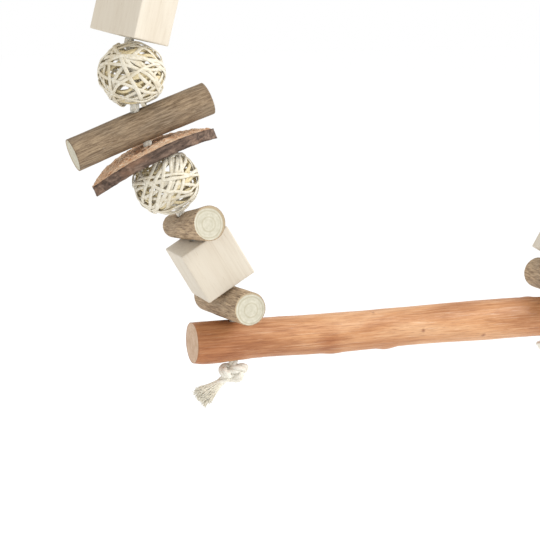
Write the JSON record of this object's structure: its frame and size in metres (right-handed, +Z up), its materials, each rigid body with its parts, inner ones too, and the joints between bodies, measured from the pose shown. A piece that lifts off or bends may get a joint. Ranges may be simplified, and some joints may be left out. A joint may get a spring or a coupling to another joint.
{
  "type": "hanging bird swing",
  "caption": "Arch-shaped bird swing: a branch perch hung from a wire-cored rope threaded with drilled logs, wooden blocks, woven balls and domed husk slices, with a ring and a sprung carabiner.",
  "frame": {"origin": "crest of the carabiner's inside, where it hangs on a bar", "axes": "+Z up, the arch in the XZ plane, front towards -Y"},
  "size_m": [0.4216, 0.0618, 0.4172],
  "materials": {
    "bark": "rough bark",
    "pale_wood": "sawn, unfinished",
    "rattan": "peeled, bleached",
    "husk": "fibrous",
    "branch": "debarked, smooth",
    "cord": "twisted fibre",
    "core_wire": "drawn",
    "steel": "nickel-plated"
  },
  "bodies": {
    "carabiner": {"carabiner": "steel", "gate_pin": "steel"},
    "gate": {"gate": "steel"},
    "ring": {"ring": "steel"},
    "arch": {"rope": "cord", "wire_core": "core_wire", "perch": "branch", "left_knot": "cord", "right_knot": "cord", "left_tassel": "cord", "right_tassel": "cord"},
    "left_log_low": {"left_log_low": "bark"},
    "left_block_low": {"left_block_low": "pale_wood"},
    "left_log_mid": {"left_log_mid": "bark"},
    "left_ball_low": {"left_ball_low": "rattan"},
    "left_shell": {"left_shell": "husk"},
    "left_log_high": {"left_log_high": "bark"},
    "left_ball_side": {"left_ball_side": "rattan"},
    "left_block_side": {"left_block_side": "pale_wood"},
    "left_rod_side": {"left_rod_side": "bark"},
    "left_log_arch": {"left_log_arch": "bark"},
    "left_rod_top": {"left_rod_top": "bark"},
    "left_ball_top": {"left_ball_top": "rattan"},
    "right_log_low": {"right_log_low": "bark"},
    "right_block_low": {"right_block_low": "pale_wood"},
    "right_log_mid": {"right_log_mid": "bark"},
    "right_ball_low": {"right_ball_low": "rattan"},
    "right_shell": {"right_shell": "husk"},
    "right_log_high": {"right_log_high": "bark"},
    "right_ball_side": {"right_ball_side": "rattan"},
    "right_block_side": {"right_block_side": "pale_wood"},
    "right_rod_side": {"right_rod_side": "bark"},
    "right_log_arch": {"right_log_arch": "bark"},
    "right_rod_top": {"right_rod_top": "bark"},
    "right_ball_top": {"right_ball_top": "rattan"}
  },
  "joints": [
    {"name": "gate_hinge", "type": "hinge", "parent": "carabiner", "child": "gate", "pos_m": [0.0066, 0, -0.025], "axis": [0, 1, 0], "range_deg": [-28, 0], "stiffness_Nm_per_rad": 0.03, "springref_deg": 8.59},
    {"name": "ring_swing", "type": "hinge", "parent": "carabiner", "child": "ring", "pos_m": [0, 0, -0.0356], "axis": [1, 0, 0], "range_deg": [-60, 60]},
    {"name": "arch_sway", "type": "hinge", "parent": "ring", "child": "arch", "pos_m": [0, 0, -0.0484], "axis": [0, 1, 0], "range_deg": [-12, 12]},
    {"name": "left_log_low_spin", "type": "hinge", "parent": "arch", "child": "left_log_low", "pos_m": [-0.11254, 0, -0.34782], "axis": [-0.2588, 0, 0.9659], "range_deg": [-15, 4]},
    {"name": "left_block_low_spin", "type": "hinge", "parent": "arch", "child": "left_block_low", "pos_m": [-0.12461, 0, -0.32164], "axis": [-0.515, 0, 0.8572], "continuous": true},
    {"name": "left_log_mid_spin", "type": "hinge", "parent": "arch", "child": "left_log_mid", "pos_m": [-0.13803, 0, -0.29914], "axis": [-0.5075, 0, 0.8616], "continuous": true},
    {"name": "left_ball_low_spin", "type": "hinge", "parent": "arch", "child": "left_ball_low", "pos_m": [-0.15166, 0, -0.27285], "axis": [-0.4384, 0, 0.8988], "continuous": true},
    {"name": "left_shell_spin", "type": "hinge", "parent": "arch", "child": "left_shell", "pos_m": [-0.16169, 0, -0.25193], "axis": [-0.3907, 0, 0.9205], "continuous": true},
    {"name": "left_log_high_spin", "type": "hinge", "parent": "arch", "child": "left_log_high", "pos_m": [-0.16651, 0, -0.23942], "axis": [-0.3502, 0, 0.9367], "continuous": true},
    {"name": "left_ball_side_spin", "type": "hinge", "parent": "arch", "child": "left_ball_side", "pos_m": [-0.17174, 0, -0.2087], "axis": [-0.0698, 0, 0.9976], "continuous": true},
    {"name": "left_block_side_spin", "type": "hinge", "parent": "arch", "child": "left_block_side", "pos_m": [-0.16895, 0, -0.17104], "axis": [0.2419, 0, 0.9703], "continuous": true},
    {"name": "left_rod_side_spin", "type": "hinge", "parent": "arch", "child": "left_rod_side", "pos_m": [-0.14472, 0, -0.12456], "axis": [0.5736, 0, 0.8192], "continuous": true},
    {"name": "left_log_arch_spin", "type": "hinge", "parent": "arch", "child": "left_log_arch", "pos_m": [-0.1159, 0, -0.08927], "axis": [0.7771, 0, 0.6293], "continuous": true},
    {"name": "left_rod_top_spin", "type": "hinge", "parent": "arch", "child": "left_rod_top", "pos_m": [-0.07579, 0, -0.06798], "axis": [0.9135, 0, 0.4067], "continuous": true},
    {"name": "left_ball_top_spin", "type": "hinge", "parent": "arch", "child": "left_ball_top", "pos_m": [-0.02575, 0, -0.05153], "axis": [0.9877, 0, 0.1564], "continuous": true},
    {"name": "right_log_low_spin", "type": "hinge", "parent": "arch", "child": "right_log_low", "pos_m": [0.11254, 0, -0.34782], "axis": [0.2588, 0, 0.9659], "range_deg": [-5, 15]},
    {"name": "right_block_low_spin", "type": "hinge", "parent": "arch", "child": "right_block_low", "pos_m": [0.12461, 0, -0.32164], "axis": [0.515, 0, 0.8572], "continuous": true},
    {"name": "right_log_mid_spin", "type": "hinge", "parent": "arch", "child": "right_log_mid", "pos_m": [0.13803, 0, -0.29914], "axis": [0.5075, 0, 0.8616], "continuous": true},
    {"name": "right_ball_low_spin", "type": "hinge", "parent": "arch", "child": "right_ball_low", "pos_m": [0.15166, 0, -0.27285], "axis": [0.4384, 0, 0.8988], "continuous": true},
    {"name": "right_shell_spin", "type": "hinge", "parent": "arch", "child": "right_shell", "pos_m": [0.16169, 0, -0.25193], "axis": [0.3907, 0, 0.9205], "continuous": true},
    {"name": "right_log_high_spin", "type": "hinge", "parent": "arch", "child": "right_log_high", "pos_m": [0.16651, 0, -0.23942], "axis": [0.3502, 0, 0.9367], "continuous": true},
    {"name": "right_ball_side_spin", "type": "hinge", "parent": "arch", "child": "right_ball_side", "pos_m": [0.17174, 0, -0.2087], "axis": [0.0698, 0, 0.9976], "continuous": true},
    {"name": "right_block_side_spin", "type": "hinge", "parent": "arch", "child": "right_block_side", "pos_m": [0.16895, 0, -0.17104], "axis": [-0.2419, 0, 0.9703], "continuous": true},
    {"name": "right_rod_side_spin", "type": "hinge", "parent": "arch", "child": "right_rod_side", "pos_m": [0.14472, 0, -0.12456], "axis": [-0.5736, 0, 0.8192], "continuous": true},
    {"name": "right_log_arch_spin", "type": "hinge", "parent": "arch", "child": "right_log_arch", "pos_m": [0.1159, 0, -0.08927], "axis": [-0.7771, 0, 0.6293], "continuous": true},
    {"name": "right_rod_top_spin", "type": "hinge", "parent": "arch", "child": "right_rod_top", "pos_m": [0.07579, 0, -0.06798], "axis": [-0.9135, 0, 0.4067], "continuous": true},
    {"name": "right_ball_top_spin", "type": "hinge", "parent": "arch", "child": "right_ball_top", "pos_m": [0.02575, 0, -0.05153], "axis": [-0.9877, 0, 0.1564], "continuous": true}
  ]
}
